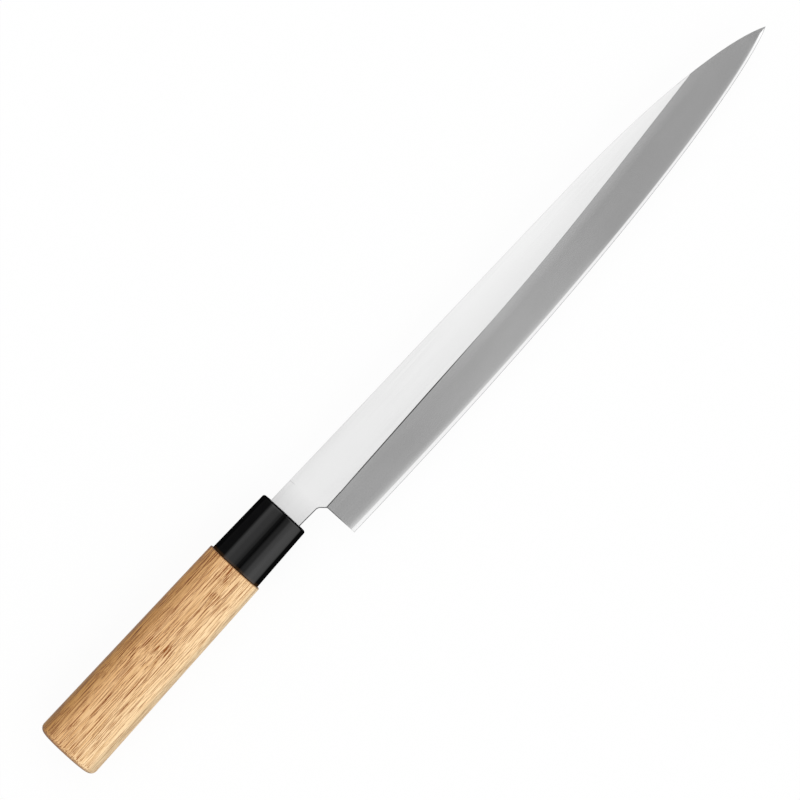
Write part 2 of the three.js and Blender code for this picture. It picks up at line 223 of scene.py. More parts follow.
def neck_y(x):
    """Underside of the neck."""
    return -NECK_BELOW_AXIS - slope(NECK_FALL) * x


# Corner under the neck: an arc that leaves the underside smoothly, and a slanted cut from it to the heel
FILLET_FROM = math.radians(90.0 - NECK_FALL)
FILLET_TO = math.radians(90.0 - HEEL_SLANT_ANGLE)
BEND_X = HEEL_X - HEEL_SLANT
FILLET_X = BEND_X - HEEL_FILLET * math.tan((FILLET_FROM - FILLET_TO) / 2) * math.sin(FILLET_FROM)
FILLET_CENTRE_X = FILLET_X - HEEL_FILLET * math.cos(FILLET_FROM)
FILLET_CENTRE_Y = neck_y(FILLET_X) - HEEL_FILLET * math.sin(FILLET_FROM)
SLANT_X = FILLET_CENTRE_X + HEEL_FILLET * math.cos(FILLET_TO)
HEEL_TOP_Y = neck_y(BEND_X) - HEEL_SLANT * slope(HEEL_SLANT_ANGLE)


def make_ridge_curve():
    start = np.array((HEEL_X, HEEL_EDGE_Y + BEVEL_HEIGHT))
    end = np.array((SHOULDER_X, float(spine_y(SHOULDER_X))))
    length = SHOULDER_X - HEEL_X
    heel_lead = length * RIDGE_HEEL_FULLNESS * np.array((1.0, slope(RIDGE_HEEL_RISE)))
    shoulder_lead = length * RIDGE_SHOULDER_FULLNESS * np.array((1.0, slope(RIDGE_SHOULDER_RISE)))
    return bezier([start, start + heel_lead, end - shoulder_lead, end])


RIDGE_CURVE = make_ridge_curve()


def ridge_y(x):
    """Ridge line. Past the shoulder it goes on in its last direction, over the spine."""
    past = np.maximum(x - SHOULDER_X, 0.0)
    return np.interp(x, *RIDGE_CURVE.T) + past * slope(RIDGE_SHOULDER_RISE)


def steel_thickness(x):
    return NECK_THICKNESS + (SHOULDER_THICKNESS - NECK_THICKNESS) * np.clip(x / SHOULDER_X, 0.0, 1.0)


def band_width(x):
    """Width of the narrow sharpened band along the edge."""
    along = np.clip((x - HEEL_X) / (TIP_X - HEEL_X), 0.0, 1.0)
    width = EDGE_BEVEL_HEEL + (EDGE_BEVEL_TIP - EDGE_BEVEL_HEEL) * along
    return np.minimum(width, EDGE_BEVEL_SHARE * (spine_y(x) - edge_y(x)))


def soft_ramp(value, softness):
    """0 below, value above, joined by a parabola that is softness wide on either side of 0."""
    bend = (value + softness) ** 2 / (4 * softness)
    return np.where(value < -softness, 0.0, np.where(value > softness, value, bend))


BACK_Z = -NECK_THICKNESS / 2


def flat_thickness(x, y):
    """Thickness at the flat, which is polished very slightly crowned between the spine and the ridge."""
    middle = (spine_y(x) + ridge_y(x)) / 2
    half = np.maximum((spine_y(x) - ridge_y(x)) / 2, 0.0)
    return steel_thickness(x) + (half**2 - (y - middle) ** 2) / (2 * FLAT_RADIUS)


def ground_thickness(x, y):
    """Thickness at the ground face, rolled a little above the narrow band along the edge, and its slope."""
    at = np.minimum(x, SHOULDER_X)
    roll = slope(BEVEL_ROLL_ANGLE)
    band_slope = slope(EDGE_BEVEL_ANGLE)
    rise = steel_thickness(at) - band_width(at) * band_slope - roll * BEVEL_ROLL_WIDTH / 2
    face_slope = rise / (ridge_y(at) - edge_y(at) - band_width(at))
    band = band_width(x)
    from_edge = y - edge_y(x)
    height = spine_y(x) - edge_y(x)
    half_roll = np.minimum(BEVEL_ROLL_WIDTH / 2, BEVEL_ROLL_SHARE * height + TINY)
    soft = np.minimum(EDGE_BEVEL_SOFTNESS, EDGE_BEVEL_SOFT_SHARE * band + TINY)
    plane = band * band_slope + face_slope * (from_edge - band) + roll * half_roll
    rolled = plane - roll * soft_ramp(band + half_roll - from_edge, half_roll)
    banded = rolled - (band_slope - face_slope - roll) * soft_ramp(band - from_edge, soft)
    return banded, face_slope


def ridge_land(x):
    """Width of the narrow land along the ridge, which thins out before the middle of the blade."""
    return np.interp(x, RIDGE_LAND_FADE, (RIDGE_LAND, RIDGE_LAND_LEAST))


def front_face(x, y):
    """Height of the side with the ridge: flat, ground face and the narrow land where they meet."""
    flat = flat_thickness(x, y)
    ground, face_slope = ground_thickness(x, y)
    over = (ground - flat) / face_slope
    below = ridge_land(x) * RIDGE_LAND_SHARE
    above = ridge_land(x) - below
    lower_bend = (1 - RIDGE_LAND_SHARE) * soft_ramp(over + below, RIDGE_SOFTNESS)
    upper_bend = RIDGE_LAND_SHARE * soft_ramp(over - above, RIDGE_SOFTNESS)
    faced = ground - face_slope * (lower_bend + upper_bend)
    return BACK_Z + np.where(x < FILLET_X, flat, faced)


def hollow_amount(x):
    from_heel = (x - HEEL_X - HOLLOW_FROM_HEEL) / HOLLOW_RUNOUT
    from_tip = (TIP_X - HOLLOW_FROM_TIP - x) / HOLLOW_RUNOUT
    into = np.clip(np.minimum(from_heel, from_tip), 0.0, 1.0)
    return 1 - (1 - into) ** 2


def hollow_middle(x):
    return (spine_y(x) + edge_y(x) + HOLLOW_EDGE_RIM - HOLLOW_SPINE_RIM) / 2


def hollow_half(x):
    height = spine_y(x) - edge_y(x)
    least = HOLLOW_LEAST_SHARE * height
    full = np.maximum(height - HOLLOW_EDGE_RIM - HOLLOW_SPINE_RIM, least)
    return np.sqrt(np.maximum(hollow_amount(x), HOLLOW_LEAST_AMOUNT)) * full / 2


def back_face(x, y):
    across = np.clip((y - hollow_middle(x)) / hollow_half(x), -1.0, 1.0)
    return BACK_Z + HOLLOW_DEPTH * hollow_amount(x) * (1 - across**2)


def corner_drop(distance, radius):
    """How far a face sinks at this distance from a rounded edge."""
    inside = np.clip(radius - distance, 0.0, radius)
    return radius - np.sqrt(np.maximum(radius**2 - inside**2, 0.0))


def cut_distance(x, y):
    """Distance in plan from the underside of the neck, the slanted cut and the heel."""
    from_corner = np.hypot(x - FILLET_CENTRE_X, y - FILLET_CENTRE_Y) - HEEL_FILLET
    from_slant = (x - HEEL_X) * math.cos(FILLET_TO) + (y - HEEL_TOP_Y) * math.sin(FILLET_TO)
    near = np.where(x < SLANT_X, from_corner, np.maximum(from_slant, x - HEEL_X))
    near = np.where(x < FILLET_X, y - neck_y(x), near)
    return np.maximum(near, 0.0)


def blade_heights(x, y):
    """Heights of both sides over points of the plan, with the long edges rounded."""
    front = front_face(x, y)
    back = back_face(x, y)
    spine = spine_y(x)
    spine_round = np.minimum(SPINE_ROUND, SPINE_ROUND_SHARE * (front_face(x, spine) - BACK_Z))
    spine_drop = corner_drop(np.maximum(spine - y, 0.0), spine_round)
    cut_round = np.minimum(CUT_ROUND, CUT_ROUND_SHARE * (front - BACK_Z))
    cut_drop = corner_drop(cut_distance(x, y), cut_round)
    return front - spine_drop - cut_drop, back + spine_drop + cut_drop


# Blade mesh: sections from a point on the spine to a point on the lower outline, each a closed ring

NECK_SECTIONS = 7
FILLET_SECTIONS = 10
SLANT_SECTIONS = 6
HEEL_SECTIONS = 30
EDGE_SECTIONS = 170
EDGE_CROWDING = 1.35
FAN_AT_HEEL = 22.0
FAN_REACH = 90.0
FLAT_ROWS = 6
FACE_ROWS = 14
BAND_ROWS = 4
HOLLOW_ROWS = 26
ROUND_ROWS = 5
LEAST_ROW = 0.03
LEAST_ROW_SHARE = 0.3
ROUND_SHARE = 0.1
CROSSING_STEPS = 400
TANG_SECTIONS = 8


def lower_outline():
    """Points along neck, corner, heel and edge, each with how far the section's spine end leads it."""
    points = []
    for x in np.linspace(TANG_FRONT_X, FILLET_X, NECK_SECTIONS, endpoint=False):
        points.append((x, neck_y(x), 0.0))
    for angle in np.linspace(FILLET_FROM, FILLET_TO, FILLET_SECTIONS, endpoint=False):
        x = FILLET_CENTRE_X + HEEL_FILLET * math.cos(angle)
        points.append((x, FILLET_CENTRE_Y + HEEL_FILLET * math.sin(angle), 0.0))
    for x in np.linspace(SLANT_X, HEEL_X, SLANT_SECTIONS, endpoint=False):
        points.append((x, HEEL_TOP_Y + (HEEL_X - x) * slope(HEEL_SLANT_ANGLE), 0.0))
    for share in np.linspace(0.0, 1.0, HEEL_SECTIONS, endpoint=False):
        points.append((HEEL_X, HEEL_TOP_Y + (HEEL_EDGE_Y - HEEL_TOP_Y) * share, FAN_AT_HEEL * share))
    for share in np.linspace(0.0, 1.0, EDGE_SECTIONS, endpoint=False):
        x = HEEL_X + (TIP_X - HEEL_X) * (1 - (1 - share) ** EDGE_CROWDING)
        fan = FAN_AT_HEEL * max(0.0, 1 - (x - HEEL_X) / FAN_REACH) ** 2
        points.append((x, max(float(edge_y(x)), LOWEST_EDGE_Y), fan))
    return points


def crossing(start, end, line):
    """Share of the way from start to end at which a section passes below the line y = line(x)."""
    shares = np.linspace(0.0, 1.0, CROSSING_STEPS)
    x = start[0] + (end[0] - start[0]) * shares
    y = start[1] + (end[1] - start[1]) * shares
    above = y - line(x)
    below = np.nonzero(above <= 0)[0]
    if len(below) == 0:
        return 1.0
    if below[0] == 0:
        return 0.0
    last = below[0] - 1
    step = shares[last + 1] - shares[last]
    return shares[last] + step * above[last] / (above[last] - above[last + 1])


def spread(shares, length):
    """The same shares, each a little past the one before, scaled to run from 0 to 1."""
    least = min(LEAST_ROW / length, LEAST_ROW_SHARE / len(shares))
    out = [0.0]
    for share in shares[1:]:
        out.append(max(share, out[-1] + least))
    return np.array(out) / out[-1]


def round_rows(radius, length):
    """Shares of a section that lie on a rounded edge at its start."""
    angles = np.linspace(0.0, math.pi / 2, ROUND_ROWS)
    return min(radius / length, ROUND_SHARE) * (1 - np.cos(angles))


def front_rows(start, end):
    length = math.dist(start, end)
    ridge = crossing(start, end, ridge_y)
    band = crossing(start, end, lambda x: edge_y(x) + band_width(x))
    soft = RIDGE_SOFTNESS / length
    land = float(ridge_land(start[0] + (end[0] - start[0]) * ridge)) / length
    land_end = ridge + land * RIDGE_LAND_SHARE
    land_start = land_end - land
    top = round_rows(SPINE_ROUND, length)
    bottom = 1 - round_rows(CUT_ROUND, length)[::-1]
    rows = list(top)
    rows += list(np.linspace(top[-1], land_start - soft, FLAT_ROWS)[1:])
    rows += [land_start + soft, land_end - soft, land_end + soft]
    rows += list(np.linspace(land_end + soft, band, FACE_ROWS)[1:])
    rows += list(np.linspace(band, bottom[0], BAND_ROWS)[1:])
    rows += list(bottom[1:])
    return spread(rows, length)


def back_rows(start, end):
    length = math.dist(start, end)
    rows = list(round_rows(SPINE_ROUND, length))
    for across in np.linspace(1.0, -1.0, HOLLOW_ROWS):
        rows.append(crossing(start, end, lambda x: hollow_middle(x) + across * hollow_half(x)))
    rows += list(1 - round_rows(CUT_ROUND, length)[::-1])
    return spread(rows, length)


def blade_ring(start, end):
    """Closed ring: the front from the spine to the lower outline, then the back up to the spine."""
    ring = []
    for side, rows in enumerate((front_rows, back_rows)):
        shares = rows(start, end)
        x = start[0] + (end[0] - start[0]) * shares
        y = start[1] + (end[1] - start[1]) * shares
        z = blade_heights(x, y)[side]
        points = [tuple(p) for p in np.stack([x, y, z], axis=1)]
        ring += points[::-1] if side else points
    return ring


def tang_taper(x, front, end):
    """A measure of the tang that goes evenly from its value in front to its value at the end."""
    return front + (end - front) * (x - TANG_FRONT_X) / (TANG_END_X - TANG_FRONT_X)


def tang_ring(x, count_front, count_back):
    half_height = tang_taper(x, TANG_HEIGHT_FRONT, TANG_HEIGHT_END) / 2
    half_thickness = tang_taper(x, TANG_THICKNESS_FRONT, TANG_THICKNESS_END) / 2
    ring = []
    for count, side in ((count_front, 1), (count_back, -1)):
        shares = np.linspace(0.0, 1.0, count)
        nearest = np.minimum(shares, 1 - shares) * 2 * half_height
        drop = corner_drop(nearest, TANG_ROUND)
        points = []
        for share, sunk in zip(shares, drop):
            points.append((x, half_height * (1 - 2 * share), side * (half_thickness - sunk)))
        ring += points if side > 0 else points[::-1]
    return ring


# Meshes

WELD = 0.0002
SHARP_ANGLE = 35.0
BLADE_SHARP_ANGLE = 50.0
STEEP = 0.5
BELOW_RIDGE = "below_ridge"


def to_frame(point):
    """From millimetres in the knife's own place to metres in the frame."""
    return ORIGIN + Vector(point) * MM


def skin(rings, closed=False):
    """Four-sided faces between rings of equal count. closed joins the last ring to the first."""
    sides = len(rings[0])
    faces = []
    pairs = len(rings) if closed else len(rings) - 1
    for ring in range(pairs):
        here = ring * sides
        there = (ring + 1) % len(rings) * sides
        for side in range(sides):
            after = (side + 1) % sides
            faces.append((here + side, here + after, there + after, there + side))
    return faces


def make_piece(name, node, points, faces, materials, choose=None, sharp_angle=SHARP_ANGLE):
    """Mesh object that stands for a CAD node. choose picks a face's material by its middle and normal."""
    mesh = bpy.data.meshes.new(name)
    mesh.from_pydata([to_frame(p) for p in points], [], faces)
    work = bmesh.new()
    work.from_mesh(mesh)
    bmesh.ops.remove_doubles(work, verts=work.verts, dist=WELD * MM)
    bmesh.ops.dissolve_degenerate(work, edges=work.edges, dist=WELD * MM)
    bmesh.ops.recalc_face_normals(work, faces=work.faces)
    for face in work.faces:
        face.smooth = True
        if choose:
            face.material_index = choose((face.calc_center_median() - ORIGIN) / MM, face.normal)
    for edge in work.edges:
        edge.smooth = len(edge.link_faces) != 2 or edge.calc_face_angle(0.0) < math.radians(sharp_angle)
    work.to_mesh(mesh)
    work.free()
    for material in materials:
        mesh.materials.append(material)
    piece = bpy.data.objects.new(name, mesh)
    bpy.context.scene.collection.objects.link(piece)
    weighted = piece.modifiers.new("face_weighted_normals", "WEIGHTED_NORMAL")
    weighted.keep_sharp = True
    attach(piece, "root")
    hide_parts(node)
    return piece


def blade_material_index(middle, normal):
    """0 flat and narrow walls, 1 ground face, 2 band along the edge, 3 back, 4 the very edge."""
    x, y, _ = middle
    if normal.z < -STEEP:
        return 3
    if x < HEEL_X or normal.z < STEEP:
        return 0
    if y > ridge_y(x) - ridge_land(x) * RIDGE_LAND_SHARE:
        return 0
    if y > edge_y(x) + band_width(x):
        return 1
    return 2 if y > edge_y(x) + EDGE_LINE else 4


def mark_below_ridge(piece):
    """Stores at each point of the blade how far it lies below the ridge line."""
    mark = piece.data.attributes.new(BELOW_RIDGE, "FLOAT", "POINT")
    for vertex, stored in zip(piece.data.vertices, mark.data):
        x, y, _ = (vertex.co - ORIGIN) / MM
        stored.value = float(ridge_y(x) - y)


def blade_sections():
    """Ends of each section: a point on the spine and a point on the lower outline."""
    sections = []
    for x, y, fan in lower_outline():
        lead = x + fan
        sections.append(((lead, float(spine_y(lead))), (x, y)))
    return sections


def build_blade(materials):
    sections = blade_sections()
    count_front = len(front_rows(*sections[0]))
    count_back = len(back_rows(*sections[0]))
    sides = count_front + count_back
    tang_places = np.linspace(TANG_END_X, TANG_FRONT_X, TANG_SECTIONS)
    rings = [tang_ring(x, count_front, count_back) for x in tang_places]
    rings += [blade_ring(start, end) for start, end in sections]
    points = [p for ring in rings for p in ring]
    faces = skin(rings)
    faces.append(tuple(range(sides)))
    tip = len(points)
    points.append((TIP_X, -TIP_BELOW_AXIS, BACK_Z))
    last = (len(rings) - 1) * sides
    faces += [(last + side, last + (side + 1) % sides, tip) for side in range(sides)]
    choose = blade_material_index
    sharp = BLADE_SHARP_ANGLE
    piece = make_piece("blade_piece", "blade", points, faces, materials, choose, sharp)
    mark_below_ridge(piece)


def oval_ring(x, size, inset=0.0):
    """Ring of an oval section, a little fuller than an ellipse and drawn in all round by inset."""
    ring = []
    for side in range(OVAL_SIDES):
        angle = 2 * math.pi * side / OVAL_SIDES
        across = math.copysign(abs(math.cos(angle)) ** (2 / OVAL_POWER), math.cos(angle))
        up = math.copysign(abs(math.sin(angle)) ** (2 / OVAL_POWER), math.sin(angle))
        ring.append((x, across * (size[0] / 2 - inset), up * (size[1] / 2 - inset)))
    return ring


def slot_ring(x, low_y, high_y, half_z, like):
    """Rectangular ring whose points lie in the same directions as those of another ring."""
    middle = (low_y + high_y) / 2
    half_y = (high_y - low_y) / 2
    ring = []
    for _, y, z in like:
        reach = min(half_y / max(abs(y), TINY), half_z / max(abs(z), TINY))
        ring.append((x, middle + y * reach, z * reach))
    return ring


def between(a, b, share):
    return tuple(p + (q - p) * share for p, q in zip(a, b))


def round_profile(radius, steps):
    """Steps round a quarter turn: how far back along the axis, and how far in from the side."""
    for step in range(steps + 1):
        angle = math.pi / 2 * step / steps
        yield radius * (1 - math.cos(angle)), radius * (1 - math.sin(angle))


def build_ferrule(material):
    rings = []

    def size_at(x):
        return between(FERRULE_FRONT, FERRULE_REAR, -x / FERRULE_LENGTH)

    for back, inset in round_profile(FERRULE_REAR_ROUND, FERRULE_REAR_STEPS):
        rings.append(oval_ring(-FERRULE_LENGTH + back, size_at(-FERRULE_LENGTH), inset))
    for share in np.linspace(0.0, 1.0, FERRULE_SECTIONS)[1:-1]:
        x = -FERRULE_LENGTH * (1 - share)
        rings.append(oval_ring(x, size_at(x)))
    for back, inset in reversed(list(round_profile(FERRULE_EDGE_ROUND, FERRULE_EDGE_STEPS))):
        rings.append(oval_ring(-back, size_at(-back), inset))
    low = neck_y(0.0) - SLOT_CLEARANCE
    high = float(straight_spine_y(TANG_FRONT_X)) + SLOT_CLEARANCE
    half = NECK_THICKNESS / 2 + SLOT_CLEARANCE
    outer = rings[-1]
    mouth = slot_ring(0.0, low, high, half, outer)
    rings.append([between(a, b, 0.5) for a, b in zip(outer, mouth)])
    rings.append(mouth)
    rings.append(slot_ring(TANG_FRONT_X, low, high, half, outer))
    rings.append(oval_ring(TANG_FRONT_X, SOCKET))
    rings.append(oval_ring(-FERRULE_LENGTH, SOCKET))
    points = [p for ring in rings for p in ring]
    faces = skin(rings, closed=True)
    make_piece("ferrule_piece", "ferrule", points, faces, [material])


HANDLE_WIDEST_X = BUTT_X + BUTT_CROWN + BUTT_ROUND


def handle_size(x):
    return between(HANDLE_FRONT, HANDLE_WIDEST, (x - HANDLE_FRONT_X) / (HANDLE_WIDEST_X - HANDLE_FRONT_X))


def butt_rings():
    """Faintly crowned face of the butt, from its middle out, and its rounded rim."""
    rings = []
    rim_x = BUTT_X + BUTT_CROWN
    flat = oval_ring(BUTT_X, handle_size(BUTT_X), BUTT_FLAT_INSET)
    middle = (BUTT_X, 0.0, 0.0)
    for share in BUTT_MIDDLE_SHARES:
        rings.append([between(middle, p, share) for p in flat])
    for share in np.linspace(0.0, 1.0, BUTT_CROWN_STEPS, endpoint=False):
        inset = BUTT_FLAT_INSET + (BUTT_ROUND - BUTT_FLAT_INSET) * share
        rings.append(oval_ring(BUTT_X + BUTT_CROWN * share, handle_size(BUTT_X), inset))
    for back, inset in round_profile(BUTT_ROUND, BUTT_ROUND_STEPS):
        rings.append(oval_ring(rim_x + back, handle_size(rim_x + back), inset))
    return rings


def build_handle(material):
    rings = butt_rings()
    for share in np.linspace(0.0, 1.0, HANDLE_SECTIONS)[1:-1]:
        x = HANDLE_WIDEST_X + (HANDLE_FRONT_X - HANDLE_FRONT_ROUND - HANDLE_WIDEST_X) * share
        rings.append(oval_ring(x, handle_size(x)))
    for back, inset in reversed(list(round_profile(HANDLE_FRONT_ROUND, HANDLE_FRONT_STEPS))):
        rings.append(oval_ring(HANDLE_FRONT_X - back, handle_size(HANDLE_FRONT_X - back), inset))
    rings.append(oval_ring(HANDLE_FRONT_X, TENON))
    rings.append(oval_ring(TENON_FACE_X, TENON))
    for x in (TENON_FACE_X, TANG_END_X - BORE_MARGIN):
        half_y = tang_taper(x, TANG_HEIGHT_FRONT, TANG_HEIGHT_END) / 2 + BORE_MARGIN
        half_z = tang_taper(x, NECK_THICKNESS, TANG_THICKNESS_END) / 2 + BORE_MARGIN
        rings.append(slot_ring(x, -half_y, half_y, half_z, rings[-1]))
    points = [p for ring in rings for p in ring]
    faces = skin(rings)
    last = (len(rings) - 1) * OVAL_SIDES
    faces.append(tuple(range(OVAL_SIDES)))
    faces.append(tuple(range(last, last + OVAL_SIDES)))
    make_piece("handle_piece", "handle", points, faces, [material])


# Materials

WHITE = (1.0, 1.0, 1.0, 1.0)
UNSTRETCHED = (1.0, 1.0, 1.0)
NOISE_MIDDLE = (0.3, 0.7)

# Steel: lines, marks and patches are counted per millimetre along X, Y and Z.
# A finish is its grey, its roughness, the depth of its lines in millimetres and their counts.
POLISHING_LINES = (0.02, 6.0, 6.0)
GRINDING_LINES = (0.03, 5.0, 5.0)
STONE_MARKS = (3.0, 3.0, 3.0)
FLAT_FINISH = ((0.76, 0.76, 0.76), 0.085, 0.0002, POLISHING_LINES)
GROUND_FINISH = ((0.67, 0.67, 0.67), 0.2, 0.0003, GRINDING_LINES)
BAND_FINISH = ((0.76, 0.76, 0.76), 0.15, 0.0003, STONE_MARKS)
BACK_FINISH = ((0.72, 0.72, 0.72), 0.2, 0.0005, POLISHING_LINES)
# The very edge is rougher steel, and its darker grey is painted shade along the edge
EDGE_FINISH_AND_SHADE = ((0.44, 0.44, 0.45), 0.4, 0.0005, STONE_MARKS)
LINE_ROUGHNESS = 0.03
PATCHES = (0.02, 0.08, 0.08)
PATCH_ROUGHNESS = 0.02
PATCH_SHADE = 0.97
# The dark line along the cut outline is painted shade of the turned edge; the cut steel there is also
# rougher
CUT_SHADE = (0.07, 0.07, 0.075, 1.0)
CUT_STEEL_ROUGHNESS = 0.5
CUT_SHADE_REACH = (0.2, 0.48)
CUT_SHADE_FADE = (HEEL_EDGE_Y + 2.0, HEEL_EDGE_Y + 9.0)
CUT_SHADE_LEAST = 0.15
# Painted shade on the steel next to the ferrule, in millimetres from its front face
NECK_SHADE = 0.84
NECK_SHADE_REACH = (1.0, 12.0)

# Painted light and shade on the ground face: its brightness, and where it changes along X or below the ridge
GROUND_LIGHT_HEEL_X = 20.0
GROUND_LIGHT_HEEL = 0.95
GROUND_LIGHT_MIDDLE_X = (124.0, 128.0)
GROUND_LIGHT_MIDDLE = 1.09
GROUND_LIGHT_TIP_X = 180.0
GROUND_LIGHT_TIP = 0.955
POINT_SHADE_LENGTH = 10.0
POINT_SHADE = 0.75
RIDGE_HIGHLIGHT = (0.04, 0.21)
RIDGE_HIGHLIGHT_RISE = (60.0, 190.0)
RIDGE_HIGHLIGHT_FADE = (207.0, 250.0)
RIDGE_HIGHLIGHT_LEAST = 0.3
RIDGE_HIGHLIGHT_DEPTH = (1.0, 4.5)

# Wood: streaks are counted per millimetre along and across the grain, followed by the noise's octaves
WOOD_PALE = (0.985, 0.722, 0.422, 1.0)
# Deep tone, used for broad grain bands and for painted shade towards the spine
WOOD_DEEP_AND_SHADED = (0.838, 0.508, 0.234, 1.0)
WOOD_FIBRE = (0.75, 0.615, 0.43, 1.0)
WOOD_LINE = (0.31, 0.13, 0.0, 1.0)
# Dark end grain, partly painted shade on the front shoulder and the rounded rim of the butt
WOOD_END_GRAIN_AND_SHADE = (0.36, 0.27, 0.19, 1.0)
# Painted shade: the spine side of the handle is darkened
WOOD_SPINE_SIDE_SHADE = (0.53, 0.405, 0.15, 1.0)
# Painted shade along both rims of the handle
WOOD_RIM_SHADE = (0.72, 0.74, 0.74, 1.0)
WOOD_SWAY_COUNTS = (0.012, 0.05, 0.05)
WOOD_SWAY_WIDTH = (0.0, 3.0, 3.0)
FIBRE_STREAKS = (0.033, 3.0, 3.0)
FIBRE_FINENESS = 0.6
FIBRE_DARK = (0.3, 0.55)
BAND_STREAKS = (0.006, 0.24, 2.0)
LINE_STREAKS = (0.05, 3.8, 0.5)
LINE_DARK = (0.6, 0.65)
TICK_STREAKS = (0.13, 4.4, 0.5)
TICK_DARK = (0.63, 0.675)
TICK_STRENGTH = 0.95
PORE_STREAKS = (0.07, 3.1, 0.5)
PORE_DARK = (0.64, 0.69)

# Wood, with painted shade, by distance from the axis towards the spine, then by distance from the ends
# Painted shade deepening the wood towards the spine
WOOD_SPINE_SHADE_RAMP = (-11.0, 6.0)
WOOD_SPINE_SHADE_SHARE = 0.6
WOOD_TONE = (0.15, 0.85)
WOOD_SPINE_SIDE_SHADE_REACH = (6.0, 13.2)
WOOD_SPINE_RIM_SHADE = (12.6, 13.8)
WOOD_EDGE_RIM_SHADE = (-11.1, -12.8)
WOOD_QUIET_REACH = (-11.5, -6.5)
WOOD_QUIET = 0.65
WOOD_FRONT_END = (0.6, 0.1)
WOOD_BUTT_RIM = (2.0, 0.8)
WOOD_BUTT_FACE = (0.5, 0.2)
WOOD_BUTT_FACE_LIFT = 0.3

# Relief and gloss of the wood
WOOD_RELIEF = 0.02
WOOD_RELIEF_SHARE = 0.4
WOOD_FIBRE_RANGE = (0.2, 0.8)
WOOD_ROUGHNESS = (0.6, 0.46)
WOOD_IOR = 1.45

# Black moulding: gloss by distance from the axis towards the spine, and by how far it turns from the eye
MOULDING_DARK = (0.002, 0.002, 0.0021, 1.0)
MOULDING_PALE = (0.0035, 0.0035, 0.0037, 1.0)
# Brownish band along the rear edge of the moulding, next to the wood
MOULDING_REAR_BROWN = (0.03, 0.015, 0.006, 1.0)
MOULDING_REAR_BROWN_REACH = (1.3, 0.4)
MOULDING_MOTTLE = (0.5, 0.5, 0.5)
MOULDING_RELIEF = 0.003
MOULDING_SCUFFS = (0.15, 3.0, 3.0)
MOULDING_SCUFFED = (0.35, 0.7)
MOULDING_ROUGHNESS = (0.07, 0.1)
MOULDING_IOR = 1.42
MOULDING_GLOSS = 0.57
MOULDING_FACING_BLEND = 0.5
MOULDING_GLOSS_FACING = (0.27, 0.38)
MOULDING_CREST_BELOW = (-1.2, -3.2)
MOULDING_CREST_ABOVE = (-0.1, 1.4)
MOULDING_CREST_GLOSS = 0.088
MOULDING_SPINE_SHEEN = (3.9, 4.8)
MOULDING_SPINE_SHEEN_GLOSS = 1.22
MOULDING_SPINE_SIDE = (5.7, 6.9)
MOULDING_SPINE_GLOSS = 0.07
MOULDING_EDGE_SIDE = (-6.0, -7.9)
MOULDING_EDGE_GLOSS = 1.48

# Resin
RESIN_DARK = (0.30, 0.20, 0.08, 1.0)
RESIN_PALE = (0.52, 0.38, 0.18, 1.0)
RESIN_CLOUDS = (0.3, 0.6, 0.6)
RESIN_ROUGHNESS = (0.35, 0.5)


class Graph:
    """Short way to add and join the nodes of one material or world."""

    def __init__(self, owner):
        owner.use_nodes = True
        self.tree = owner.node_tree
        self.tree.nodes.clear()

    def node(self, kind, inputs=None, **settings):
        made = self.tree.nodes.new(kind)
        for key, value in settings.items():
            setattr(made, key, value)
        for key, value in (inputs or {}).items():
            if isinstance(value, bpy.types.NodeSocket):
                self.tree.links.new(value, made.inputs[key])
            else:
                made.inputs[key].default_value = value
        return made

    def math(self, operation, a, b=0.0):
        return self.node("ShaderNodeMath", {0: a, 1: b}, operation=operation).outputs[0]

    def ramp(self, value, low, high, to_low=0.0, to_high=1.0):
        """Straight line from to_low at low to to_high at high, held level outside."""
        inputs = {"Value": value, "From Min": low, "From Max": high, "To Min": to_low, "To Max": to_high}
        return self.node("ShaderNodeMapRange", inputs).outputs["Result"]

    def noise(self, vector, detail=2.0, roughness=0.5, output="Fac"):
        inputs = {"Vector": vector, "Scale": 1.0, "Detail": detail, "Roughness": roughness}
        return self.node("ShaderNodeTexNoise", inputs).outputs[output]

    def vector(self, operation, a, b):
        second = "Scale" if operation == "SCALE" else 1
        return self.node("ShaderNodeVectorMath", {0: a, second: b}, operation=operation).outputs[0]

    def separate(self, vector):
        return self.node("ShaderNodeSeparateXYZ", {0: vector}).outputs

    def stretched(self, scales):
        """Object coordinates in millimetres, each axis multiplied by its own scale."""
        coordinates = self.node("ShaderNodeTexCoord").outputs["Object"]
        scale = [s / MM for s in scales]
        return self.node("ShaderNodeMapping", {"Vector": coordinates, "Scale": scale}).outputs["Vector"]

    def from_origin(self):
        """X and Y in millimetres from the middle of the ferrule's front face."""
        parts = self.separate(self.stretched(UNSTRETCHED))
        x = self.math("SUBTRACT", parts["X"], ORIGIN.x / MM)
        y = self.math("SUBTRACT", parts["Y"], ORIGIN.y / MM)
        return x, y

    def mix_colour(self, factor, a, b, blend="MIX"):
        inputs = {0: factor, 6: a, 7: b}
        return self.node("ShaderNodeMix", inputs, data_type="RGBA", blend_type=blend).outputs[2]

    def mix_value(self, factor, a, b):
        return self.node("ShaderNodeMix", {0: factor, 2: a, 3: b}, data_type="FLOAT").outputs[0]

    def darken(self, colour, amount, tint):
        """Multiplies a colour by a tint, more where amount is nearer 1."""
        return self.mix_colour(1.0, colour, self.mix_colour(amount, WHITE, tint), "MULTIPLY")

    def bump(self, height, distance):
        """Normal of a relief that is distance millimetres deep where height goes from 0 to 1."""
        inputs = {"Height": height, "Distance": distance * MM, "Strength": 1.0}
        return self.node("ShaderNodeBump", inputs).outputs["Normal"]

    def surface(self, inputs):
        shader = self.node("ShaderNodeBsdfPrincipled", inputs)
        self.output("ShaderNodeOutputMaterial", shader)

    def output(self, kind, shader):
        made = self.node(kind)
        self.tree.links.new(shader.outputs[0], made.inputs["Surface"])


